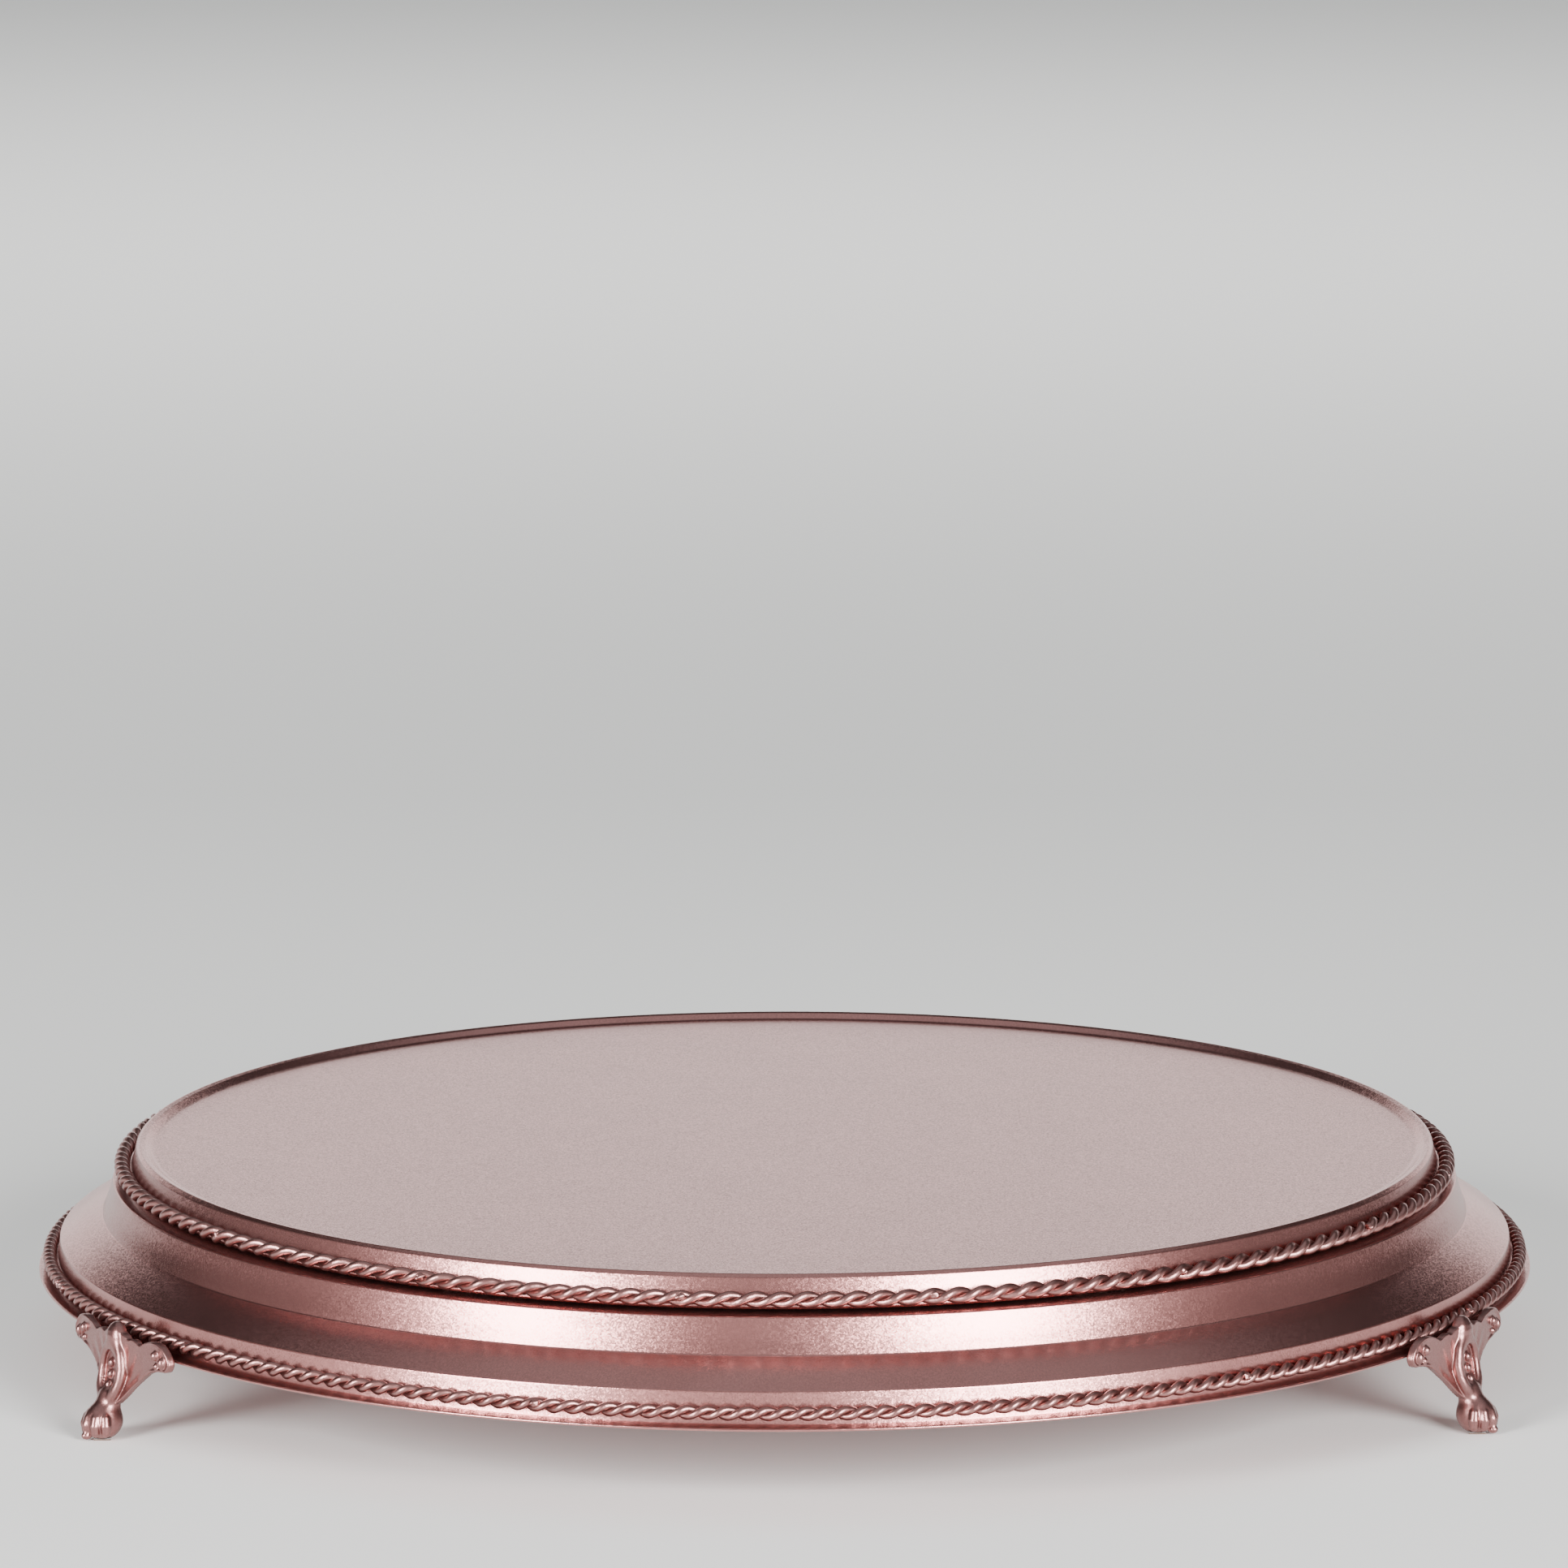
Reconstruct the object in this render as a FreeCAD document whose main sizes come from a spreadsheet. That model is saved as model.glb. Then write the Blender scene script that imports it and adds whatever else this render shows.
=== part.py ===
"""Footed cake turntable: a revolving plate on a low three-footed base, both trimmed with twisted wire.

Millimetres, +Z up. The origin is on the spin axis, on the floor between the three feet.
A revolving top (plate, rope, stiffening disc and pivot) runs on six glide blocks on a fixed base
(stepped shell, rim ring, rope and three cast claw feet).
"""

import FreeCAD
import Part
import Sketcher
import math
import os

Vector = FreeCAD.Vector
Z_AXIS = Vector(0, 0, 1)

DIMENSIONS = [
    # alias, value, what it is
    ("plate_gauge", 1.2, "thickness of the plate's spun sheet"),
    ("flat_level", 74.7, "top of the flat that the cake stands on"),
    ("flat_radius", 228.5, "where the flat ends and the lip starts to rise"),
    ("lip_rise", 2.3, "height of the lip's crest above the flat"),
    ("lip_radius", 234.8, "outer edge of the rolled lip"),
    ("wall_foot_radius", 237.6, "outside of the plate's wall at its lower edge"),
    ("wall_foot_level", 65.2, "lower edge of the plate's wall"),
    ("shell_gauge", 1.6, "thickness of the base's spun sheet"),
    ("deck_level", 64.4, "top of the base's deck, under the plate"),
    ("deck_radius", 243.3, "outer edge of the deck"),
    ("riser_foot_radius", 247.2, "foot of the flared riser"),
    ("riser_foot_level", 52.1, "crease between the riser and the flange"),
    ("flange_radius", 262.7, "outer edge of the sloping flange"),
    ("flange_level", 43.7, "height of the flange's outer edge"),
    ("skirt_foot_radius", 264.0, "foot of the low wall behind the lower rope"),
    ("ledge_level", 32.9, "top of the rim ring, under the lower rope"),
    ("rim_radius", 270.4, "outside of the rim ring"),
    ("rim_inner_radius", 243.0, "inner edge of the rim ring"),
    ("rim_thickness", 1.0, "thickness of the rim ring"),
    ("upper_rope_diameter", 5.9, "diameter over both wires of the plate's rope"),
    ("lower_rope_diameter", 5.1, "diameter over both wires of the base's rope"),
    ("rope_sides", 5, "sides of the plain envelope that holds a rope"),
    ("upper_rope_radius", 240.0, "middle of the upper rope"),
    ("upper_rope_level", 69.5, "height of the upper rope's middle"),
    ("lower_rope_radius", 266.5, "middle of the lower rope"),
    ("lower_rope_level", 37.2, "height of the lower rope's middle"),
    ("disc_radius", 224.0, "stiffening disc under the plate"),
    ("disc_thickness", 4.0, "stiffening disc's thickness"),
    ("glide_length", 24.0, "length of one glide block, along the circle"),
    ("glide_width", 14.0, "width of one glide block"),
    ("glide_ring", 205.0, "distance of the glide blocks from the axis"),
    ("glide_count", 6, "number of glide blocks"),
    ("glide_gap", 0.1, "running gap between the blocks and the disc"),
    ("pivot_plate_length", 60.0, "length of the pivot plate"),
    ("pivot_plate_width", 26.0, "width of the pivot plate"),
    ("pivot_plate_thickness", 3.0, "pivot plate's thickness"),
    ("pivot_screw_offset", 22.0, "distance of its screws from the axis"),
    ("stud_radius", 5.0, "pivot stud"),
    ("stud_foot_level", 44.5, "lower end of the stud"),
    ("stud_chamfer", 0.8, "chamfer at the stud's lower end"),
    ("running_fit", 0.05, "radial clearance of the stud in its bush"),
    ("bush_radius", 8.0, "outside of the bush's sleeve"),
    ("bush_flange_radius", 12.0, "bush's flange"),
    ("bush_flange_thickness", 1.5, "bush's flange, on top of the deck"),
    ("bush_foot_level", 58.8, "lower end of the bush's sleeve"),
    ("seat_gap", 0.1, "clearance round the bush in the deck and the doubler"),
    ("doubler_side", 60.0, "side of the square doubler under the deck"),
    ("doubler_thickness", 3.0, "doubler's thickness"),
    ("washer_side", 24.0, "side of the square plate washer"),
    ("washer_thickness", 1.5, "plate washer's thickness"),
    ("washer_gap", 0.2, "end play between the bush and the plate washer"),
    ("nut_flats", 17.0, "lock nut across its flats"),
    ("nut_thickness", 9.0, "lock nut's height"),
    ("small_screw_radius", 1.9, "shank of a pivot plate screw"),
    ("small_screw_length", 3.6, "thread that a pivot plate screw has in the disc"),
    ("small_head_flats", 6.0, "hexagon head of a pivot plate screw, across its flats"),
    ("small_head_height", 1.9, "height of that head"),
    ("foot_screw_ring", 252.5, "distance of the feet's screws from the axis"),
    ("foot_screw_radius", 3.0, "shank of a foot's screw"),
    ("foot_screw_hole", 3.3, "hole for a foot's screw"),
    ("foot_head_flats", 10.0, "hexagon head of a foot's screw, across its flats"),
    ("foot_head_height", 4.0, "height of that head"),
    ("foot_nut_flats", 10.0, "foot's nut across its flats"),
    ("foot_nut_thickness", 5.0, "foot's nut"),
    ("foot_screw_end", 2.0, "how far a foot's screw stands out of its nut"),
    ("foot_left_azimuth", -147.6, "direction of the left front foot, from +X"),
    ("foot_right_azimuth", -30.9, "direction of the right front foot"),
    ("foot_back_azimuth", 91.0, "direction of the back foot"),
    ("wing_inner_radius", 270.9, "back of a foot's leaf wings"),
    ("wing_thickness", 2.6, "thickness of the leaf wings"),
    ("leg_radius", 275.0, "middle of a foot's leg"),
    ("sole_offset", 4.2, "how far the sole's middle is outside the leg's"),
    ("tab_inner_radius", 245.0, "inner end of a foot's tab"),
    ("tab_width", 20.0, "width of a foot's tab"),
    ("tab_thickness", 3.0, "thickness of a foot's tab"),
    ("foot_pad_side", 6.0, "side of the square felt pad under a paw"),
    ("foot_pad_thickness", 0.5, "thickness of that pad"),
]

doc = FreeCAD.newDocument("CakeTurntable")
sheet = doc.addObject("Spreadsheet::Sheet", "Dims")
for row, (alias, number, note) in enumerate(DIMENSIONS, start=1):
    sheet.set(f"A{row}", note)
    sheet.set(f"B{row}", str(number))
    sheet.setAlias(f"B{row}", alias)
doc.recompute()

pieces = []

FOOT_SIDES = ("left", "right", "back")


def foot_place(side, radius):
    """The point at a radius in a foot's direction, as two expressions."""
    return tuple(f"({radius}) * {way}(Dims.foot_{side}_azimuth * 1deg)" for way in ("cos", "sin"))


def dim(text):
    """The value of an expression on the sheet's aliases, in millimetres or as a plain number."""
    return float(sheet.evalExpression(text))


def keep(piece, label):
    """Name a finished sub-part and put it on the list of pieces to write."""
    piece.Label = label
    pieces.append(piece)
    return piece


def new_body(label):
    """A PartDesign body that is a sub-part of its own."""
    return keep(doc.addObject("PartDesign::Body", label), label)


def origin_plane(body, role):
    """One of the body's own origin planes."""
    return [item for item in body.Origin.OriginFeatures if item.Role == role][0]


def new_sketch(body, name, role="XY_Plane", level=None):
    """A sketch on an origin plane, lifted along its normal by the expression in level."""
    sketch = body.newObject("Sketcher::SketchObject", name)
    sketch.AttachmentSupport = [(origin_plane(body, role), "")]
    sketch.MapMode = "FlatFace"
    if level not in (None, "0"):
        sketch.setExpression("AttachmentOffset.Base.z", level)
    return sketch


def bind_point(sketch, edge, end, corner, tag):
    """Hold one end of an edge at the two expressions of a corner."""
    for axis, kind, other_axis, text in zip("xy", ("DistanceX", "DistanceY"), (-2, -1), corner):
        if text == "0":
            sketch.addConstraint(Sketcher.Constraint("PointOnObject", edge, end, other_axis))
            continue
        index = sketch.addConstraint(Sketcher.Constraint(kind, -1, 1, edge, end, dim(text)))
        sketch.renameConstraint(index, f"{tag}_{axis}")
        sketch.setExpression(f"Constraints.{tag}_{axis}", text)


def add_outline(sketch, corners):
    """A closed outline of straight lines through corners given as pairs of expressions."""
    points = [Vector(dim(first), dim(second), 0) for first, second in corners]
    start = sketch.GeometryCount
    count = len(points)
    for index, point in enumerate(points):
        sketch.addGeometry(Part.LineSegment(point, points[(index + 1) % count]), False)
    for index, corner in enumerate(corners):
        edge = start + index
        follower = start + (index + 1) % count
        sketch.addConstraint(Sketcher.Constraint("Coincident", edge, 2, follower, 1))
        bind_point(sketch, edge, 1, corner, f"corner{index}")


def add_circle(sketch, centre, radius, tag):
    """A circle whose centre and radius are expressions."""
    point = Vector(dim(centre[0]), dim(centre[1]), 0)
    edge = sketch.addGeometry(Part.Circle(point, Z_AXIS, dim(radius)), False)
    bind_point(sketch, edge, 3, centre, f"{tag}_centre")
    index = sketch.addConstraint(Sketcher.Constraint("Radius", edge, dim(radius)))
    sketch.renameConstraint(index, f"{tag}_radius")
    sketch.setExpression(f"Constraints.{tag}_radius", radius)


def turn_on_lathe(label, outline):
    """A body revolved about the spin axis from an outline of (radius, height) expressions."""
    body = new_body(label)
    sketch = new_sketch(body, f"{label}_profile", "XZ_Plane")
    add_outline(sketch, outline)
    spin = body.newObject("PartDesign::Revolution", f"{label}_turned")
    spin.Profile = sketch
    spin.ReferenceAxis = (sketch, ["V_Axis"])
    spin.Angle = 360
    return body


def pad(body, sketch, height, name):
    """Pad a sketch by the expression in height."""
    feature = body.newObject("PartDesign::Pad", name)
    feature.Profile = sketch
    feature.setExpression("Length", height)
    return feature


def drill(body, centre, radius, level, depth, name):
    """Cut a round hole downwards from a level; the cut volume is checked."""
    doc.recompute()
    before = body.Shape.Volume
    sketch = new_sketch(body, f"{name}_sketch", level=level)
    add_circle(sketch, centre, radius, "hole")
    pocket = body.newObject("PartDesign::Pocket", name)
    pocket.Profile = sketch
    pocket.setExpression("Length", depth)
    doc.recompute()
    if body.Shape.Volume >= before - 1:
        raise RuntimeError(f"{name} cut nothing")
    return pocket


def repeat_round(body, features, count, name):
    """Repeat features about the spin axis; count is an expression or a number."""
    pattern = body.newObject("PartDesign::PolarPattern", name)
    pattern.Originals = features
    pattern.Axis = (origin_plane(body, "Z_Axis"), [""])
    pattern.Angle = 360
    pattern.setExpression("Occurrences", count)
    body.Tip = pattern
    return pattern


def block_corners(length, width, centre=("0", "0")):
    """The corners of a rectangle with its sides along X and Y."""
    x, y = centre
    return [(f"{x} {across} {length} / 2", f"{y} {along} {width} / 2")
            for across, along in (("-", "-"), ("+", "-"), ("+", "+"), ("-", "+"))]


def hexagon_corners(flats, centre=("0", "0")):
    """The corners of a hexagon from its width across flats, two of its sides along X."""
    x, y = centre
    reach = f"{flats} / sqrt(3)"
    return [(f"{x} + {reach} * cos({angle}deg)", f"{y} + {reach} * sin({angle}deg)")
            for angle in range(0, 360, 60)]


def add_slab(body, name, corners, level, height, bore=None):
    """Pad an outline upwards from a level, with an optional round bore given as (centre, radius)."""
    sketch = new_sketch(body, f"{name}_outline", level=level)
    add_outline(sketch, corners)
    if bore is not None:
        add_circle(sketch, *bore, "bore")
    return pad(body, sketch, height, f"{name}_pad")


def add_pin(body, name, centre, radius, level, height):
    """Pad a circle upwards from a level."""
    sketch = new_sketch(body, f"{name}_circle", level=level)
    add_circle(sketch, centre, radius, "pin")
    return pad(body, sketch, height, f"{name}_pad")


def make_top_plate():
    """Flat disc, low lip with a rolled edge, and a wall that flares down to its hem."""
    flat = "Dims.flat_level"
    crest = "Dims.flat_level + Dims.lip_rise"
    lip = "Dims.lip_radius"
    gauge = "Dims.plate_gauge"
    turn_on_lathe("top_plate", [
        ("0", flat),
        ("Dims.flat_radius", flat),
        (f"{lip} - 2.2 * {gauge}", crest),
        (f"{lip} - {gauge}", crest),
        (lip, f"{crest} - {gauge}"),
        ("Dims.wall_foot_radius", "Dims.wall_foot_level"),
        (f"Dims.wall_foot_radius - {gauge}", "Dims.wall_foot_level"),
        (f"{lip} - 1.4 * {gauge}", f"{flat} - {gauge}"),
        ("0", f"{flat} - {gauge}"),
    ])


def make_base_shell():
    """Deck with the bush's hole, flared riser, sloping flange and a low wall that stands on the rim ring."""
    deck = "Dims.deck_level"
    gauge = "Dims.shell_gauge"
    hole = "Dims.bush_radius + Dims.seat_gap"
    turn_on_lathe("base_shell", [
        (hole, deck),
        ("Dims.deck_radius", deck),
        ("Dims.riser_foot_radius", "Dims.riser_foot_level"),
        ("Dims.flange_radius", "Dims.flange_level"),
        ("Dims.skirt_foot_radius", "Dims.ledge_level"),
        (f"Dims.skirt_foot_radius - {gauge}", "Dims.ledge_level"),
        (f"Dims.flange_radius - {gauge}", f"Dims.flange_level - 0.6 * {gauge}"),
        (f"Dims.riser_foot_radius - 1.2 * {gauge}", f"Dims.riser_foot_level - 0.6 * {gauge}"),
        (f"Dims.deck_radius - 1.1 * {gauge}", f"{deck} - {gauge}"),
        (hole, f"{deck} - {gauge}"),
    ])


def make_rim_ring():
    """Flat ring under the shell: the lower rope lies on its ledge and the feet are screwed to it."""
    bottom = "Dims.ledge_level - Dims.rim_thickness"
    ring = turn_on_lathe("rim_ring", [
        ("Dims.rim_inner_radius", "Dims.ledge_level"),
        ("Dims.rim_radius", "Dims.ledge_level"),
        ("Dims.rim_radius", bottom),
        ("Dims.rim_inner_radius", bottom),
    ])
    for side in FOOT_SIDES:
        drill(ring, foot_place(side, "Dims.foot_screw_ring"), "Dims.foot_screw_hole", "Dims.ledge_level",
              "Dims.rim_thickness", f"rim_hole_{side}")


def make_rope(label):
    """The plain ring that two wires of a twisted rope fill."""
    sides = int(dim("Dims.rope_sides"))
    reach = f"Dims.{label}_diameter / 2"
    angles = [360 * side / sides for side in range(sides)]
    turn_on_lathe(label, [
        (f"Dims.{label}_radius + {reach} * cos({angle}deg)", f"Dims.{label}_level + {reach} * sin({angle}deg)")
        for angle in angles
    ])


def make_top_inside():
    """Stiffening disc, pivot plate with its stud and screws, plate washer and lock nut."""
    disc_top = "Dims.flat_level - Dims.plate_gauge"
    disc_foot = f"{disc_top} - Dims.disc_thickness"
    turn_on_lathe("stiffening_disc", [
        ("0", disc_top),
        ("Dims.disc_radius", disc_top),
        ("Dims.disc_radius", disc_foot),
        ("0", disc_foot),
    ])

    plate_foot = f"{disc_foot} - Dims.pivot_plate_thickness"
    place = ("Dims.pivot_screw_offset", "0")
    plate = new_body("pivot_plate")
    outline = block_corners("Dims.pivot_plate_length", "Dims.pivot_plate_width")
    add_slab(plate, "pivot_plate", outline, plate_foot, "Dims.pivot_plate_thickness",
             (("0", "0"), "Dims.stud_radius"))
    hole = drill(plate, place, "Dims.small_screw_radius + Dims.seat_gap", disc_foot,
                 "Dims.pivot_plate_thickness", "pivot_plate_hole")
    repeat_round(plate, [hole], "2", "pivot_plate_holes")

    screws = new_body("pivot_plate_screws")
    head_foot = f"{plate_foot} - Dims.small_head_height"
    head = add_slab(screws, "small_head", hexagon_corners("Dims.small_head_flats", place), head_foot,
                    "Dims.small_head_height")
    shank = add_pin(screws, "small_shank", place, "Dims.small_screw_radius", plate_foot,
                    "Dims.pivot_plate_thickness + Dims.small_screw_length")
    repeat_round(screws, [head, shank], "2", "small_screws")

    turn_on_lathe("pivot_stud", [
        ("0", disc_foot),
        ("Dims.stud_radius", disc_foot),
        ("Dims.stud_radius", "Dims.stud_foot_level + Dims.stud_chamfer"),
        ("Dims.stud_radius - Dims.stud_chamfer", "Dims.stud_foot_level"),
        ("0", "Dims.stud_foot_level"),
    ])

    thread = (("0", "0"), "Dims.stud_radius + Dims.running_fit")
    washer_foot = "Dims.bush_foot_level - Dims.washer_gap - Dims.washer_thickness"
    washer = new_body("plate_washer")
    add_slab(washer, "plate_washer", block_corners("Dims.washer_side", "Dims.washer_side"), washer_foot,
             "Dims.washer_thickness", thread)
    nut = new_body("lock_nut")
    add_slab(nut, "lock_nut", hexagon_corners("Dims.nut_flats"), f"{washer_foot} - Dims.nut_thickness",
             "Dims.nut_thickness", thread)


def make_base_inside():
    """Flanged bush in the deck, doubler under it, and the glide blocks that carry the load."""
    deck = "Dims.deck_level"
    bore = "Dims.stud_radius + Dims.running_fit"
    flange_top = f"{deck} + Dims.bush_flange_thickness"
    turn_on_lathe("pivot_bush", [
        (bore, flange_top),
        ("Dims.bush_flange_radius", flange_top),
        ("Dims.bush_flange_radius", deck),
        ("Dims.bush_radius", deck),
        ("Dims.bush_radius", "Dims.bush_foot_level"),
        (bore, "Dims.bush_foot_level"),
    ])

    doubler = new_body("deck_doubler")
    doubler_foot = f"{deck} - Dims.shell_gauge - Dims.doubler_thickness"
    add_slab(doubler, "deck_doubler", block_corners("Dims.doubler_side", "Dims.doubler_side"), doubler_foot,
             "Dims.doubler_thickness", (("0", "0"), "Dims.bush_radius + Dims.seat_gap"))

    glides = new_body("glide_blocks")
    height = f"Dims.flat_level - Dims.plate_gauge - Dims.disc_thickness - Dims.glide_gap - {deck}"
    outline = block_corners("Dims.glide_width", "Dims.glide_length", ("Dims.glide_ring", "0"))
    block = add_slab(glides, "glide_block", outline, deck, height)
    repeat_round(glides, [block], "Dims.glide_count", "glide_circle")


# One row of a foot's leg: height, middle, half depth along the radius and half width across it, and how
# deep its front is hollowed (the oval on the knee) or its toes are parted (the paw). Middles are measured
# from leg_radius. The rows run from the sole up to the crown of the knee.
LEG_ROWS = (
    # level, middle, depth, width, hollow, toes
    (0.5, 4.2, 6.0, 4.8, 0.0, 0.00),
    (2.6, 4.6, 8.0, 6.3, 0.0, 0.10),
    (6.0, 4.3, 8.1, 6.5, 0.0, 0.12),
    (9.4, 3.4, 6.6, 5.8, 0.0, 0.08),
    (11.8, 2.0, 4.5, 4.6, 0.0, 0.00),
    (13.6, 1.4, 3.7, 4.2, 0.0, 0.00),
    (18.0, 0.8, 4.2, 6.0, 1.2, 0.00),
    (25.0, 0.4, 4.3, 6.6, 1.6, 0.00),
    (31.0, 0.2, 4.3, 6.4, 1.3, 0.00),
    (35.0, -0.2, 4.2, 5.6, 0.0, 0.00),
    (38.5, -1.0, 3.6, 4.2, 0.0, 0.00),
    (40.5, -2.0, 2.0, 2.2, 0.0, 0.00),
)
LEG_CORNERS = 12

# Half of the wings' outline, from the leg out to the tip and back: across the foot, and height.
WING_TOP = ((0.0, 39.0), (11.5, 36.8), (15.4, 35.5), (25.0, 38.4), (31.3, 36.9))
WING_TIP = (35.2, 31.8)
WING_BOTTOM = ((32.6, 28.2), (26.5, 27.6), (17.5, 23.4), (9.5, 16.6), (0.0, 12.6))


def leg_point(row, corner):
    """One corner of a leg's section: an ellipse, hollowed in front or parted into toes."""
    level, middle, depth, width, hollow, toes = row
    turn = 2 * math.pi * corner / LEG_CORNERS
    front = math.cos(turn)
    shrink = 1.0 - toes * (corner % 2) * (front > 0)
    reach = depth * front * shrink
    if front > 0.9:
        reach -= hollow
    return Vector(dim("Dims.leg_radius") + middle + reach, width * math.sin(turn) * shrink, level)


def make_leg():
    """The leg as a closed skin of flat three-sided facets between the rows' sections."""
    rows = [[leg_point(row, corner) for corner in range(LEG_CORNERS)] for row in LEG_ROWS]
    facets = []
    for lower, upper in zip(rows, rows[1:]):
        for corner in range(LEG_CORNERS):
            follower = (corner + 1) % LEG_CORNERS
            facets.append((lower[corner], lower[follower], upper[follower]))
            facets.append((lower[corner], upper[follower], upper[corner]))
    faces = [Part.Face(Part.makePolygon([a, b, c, a])) for a, b, c in facets]
    for cap in (rows[0], rows[-1]):
        faces.append(Part.Face(Part.makePolygon(cap + cap[:1])))
    return Part.Solid(Part.Shell(faces))


def make_wings():
    """Two scalloped leaf wings that follow the rim, cut from a curved plate."""
    right = [*WING_TOP, WING_TIP, *WING_BOTTOM]
    left = [(-across, level) for across, level in right[-2:0:-1]]
    inner = dim("Dims.wing_inner_radius")
    points = [Vector(inner - 8, across, level) for across, level in right + left]
    blank = Part.Face(Part.makePolygon(points + points[:1])).extrude(Vector(20, 0, 0))
    thickness = dim("Dims.wing_thickness")
    ring = Part.makeCylinder(inner + thickness, 60).cut(Part.makeCylinder(inner, 60))
    return blank.common(ring)


def make_foot(side, label):
    """A cast claw foot: leaf wings, knee with a hollowed oval, ankle and paw, and a tab for its screw."""
    tab_top = dim("Dims.ledge_level - Dims.rim_thickness")
    inner = dim("Dims.tab_inner_radius")
    length = dim("Dims.leg_radius") - inner
    width = dim("Dims.tab_width")
    thickness = dim("Dims.tab_thickness")
    tab = Part.makeBox(length, width, thickness, Vector(inner, -width / 2, tab_top - thickness))
    hole = Part.makeCylinder(dim("Dims.foot_screw_hole"), thickness,
                             Vector(dim("Dims.foot_screw_ring"), 0, tab_top - thickness))
    foot = keep(doc.addObject("Part::Feature", label), label)
    foot.Shape = make_leg().fuse([make_wings(), tab]).cut(hole).removeSplitter()
    foot.Placement = FreeCAD.Placement(Vector(0, 0, 0), FreeCAD.Rotation(Z_AXIS, 0))
    foot.setExpression("Placement.Rotation.Angle", f"Dims.foot_{side}_azimuth * 1deg")


def make_foot_hardware():
    """Screws, nuts and felt pads of the three feet, each kind one group of three solids."""
    ring_foot = "Dims.ledge_level - Dims.rim_thickness"
    tab_foot = f"{ring_foot} - Dims.tab_thickness"
    screws = new_body("foot_screws")
    nuts = new_body("foot_nuts")
    pads = new_body("foot_pads")
    for side in FOOT_SIDES:
        place = foot_place(side, "Dims.foot_screw_ring")
        add_slab(screws, f"foot_head_{side}", hexagon_corners("Dims.foot_head_flats", place),
                 f"{tab_foot} - Dims.foot_head_height", "Dims.foot_head_height")
        add_pin(screws, f"foot_shank_{side}", place, "Dims.foot_screw_radius", tab_foot,
                "Dims.tab_thickness + Dims.rim_thickness + Dims.foot_nut_thickness + Dims.foot_screw_end")
        add_slab(nuts, f"foot_nut_{side}", hexagon_corners("Dims.foot_nut_flats", place), "Dims.ledge_level",
                 "Dims.foot_nut_thickness", (place, "Dims.foot_screw_radius + Dims.running_fit"))
        sole = foot_place(side, "Dims.leg_radius + Dims.sole_offset")
        add_slab(pads, f"foot_pad_{side}", block_corners("Dims.foot_pad_side", "Dims.foot_pad_side", sole),
                 "0", "Dims.foot_pad_thickness")


def check_and_write():
    """Stop on any failed object or bad shape, then write one STEP file for each piece."""
    doc.recompute()
    failed = [item.Label for item in doc.Objects if {"Invalid", "Error"} & set(item.State)]
    if failed:
        raise RuntimeError(f"failed objects: {failed}")
    os.makedirs("parts", exist_ok=True)
    for piece in pieces:
        if piece.Shape.isNull() or not piece.Shape.isValid():
            raise RuntimeError(f"{piece.Label} has no valid shape")
    for piece in pieces:
        piece.Shape.exportStep(f"parts/{piece.Label}.step")
        print(piece.Label, len(piece.Shape.Solids), "solids", round(piece.Shape.Volume / 1000, 2), "cm3")


make_top_plate()
make_rope("upper_rope")
make_top_inside()
make_base_shell()
make_rim_ring()
make_rope("lower_rope")
make_base_inside()
make_foot("left", "foot_front_left")
make_foot("right", "foot_front_right")
make_foot("back", "foot_back")
make_foot_hardware()
check_and_write()
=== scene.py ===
"""Looks of a footed cake turntable in satin rose-gold lacquer, built round its CAD model.

Spun sheet, twisted-wire ropes and cast claw feet are worked out as numpy surfaces over the CAD's sizes.
The stiffening disc, the pivot and the screws keep their CAD shapes and get their real finishes.
"""

import math

import bpy
import numpy as np
from mathutils import Matrix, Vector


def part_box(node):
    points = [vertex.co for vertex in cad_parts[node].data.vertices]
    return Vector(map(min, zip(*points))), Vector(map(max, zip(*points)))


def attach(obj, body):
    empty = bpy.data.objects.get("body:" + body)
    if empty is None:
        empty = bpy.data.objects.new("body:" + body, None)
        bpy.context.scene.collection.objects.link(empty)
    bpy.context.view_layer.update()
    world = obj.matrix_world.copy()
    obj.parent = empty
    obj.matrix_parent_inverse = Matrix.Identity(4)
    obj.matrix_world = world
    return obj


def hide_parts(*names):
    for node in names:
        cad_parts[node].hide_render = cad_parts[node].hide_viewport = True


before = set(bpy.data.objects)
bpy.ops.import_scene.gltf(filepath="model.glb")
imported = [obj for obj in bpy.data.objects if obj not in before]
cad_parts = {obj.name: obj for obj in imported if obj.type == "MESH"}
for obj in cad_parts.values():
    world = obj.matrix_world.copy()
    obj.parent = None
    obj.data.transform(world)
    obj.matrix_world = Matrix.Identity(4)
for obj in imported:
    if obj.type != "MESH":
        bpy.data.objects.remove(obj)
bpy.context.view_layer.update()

MM = 0.001
LATHE_STEPS = 720
PLATE_GAUGE = 1.2
SHELL_GAUGE = 1.6


# ---------------------------------------------------------------- sizes read from the CAD, in millimetres

def ring_of(name):
    """Outer radius, lowest and highest level of a CAD node that goes round the axis."""
    low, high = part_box(name)
    return high[0] / MM, low[2] / MM, high[2] / MM


def direction_of(name):
    """Angle round the axis of a CAD node's area centroid."""
    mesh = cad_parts[name].data
    centres = np.empty(3 * len(mesh.polygons))
    areas = np.empty(len(mesh.polygons))
    mesh.polygons.foreach_get("center", centres)
    mesh.polygons.foreach_get("area", areas)
    x, y, _ = areas @ centres.reshape(-1, 3)
    return math.atan2(y, x)


# ---------------------------------------------------------------- surfaces

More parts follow.
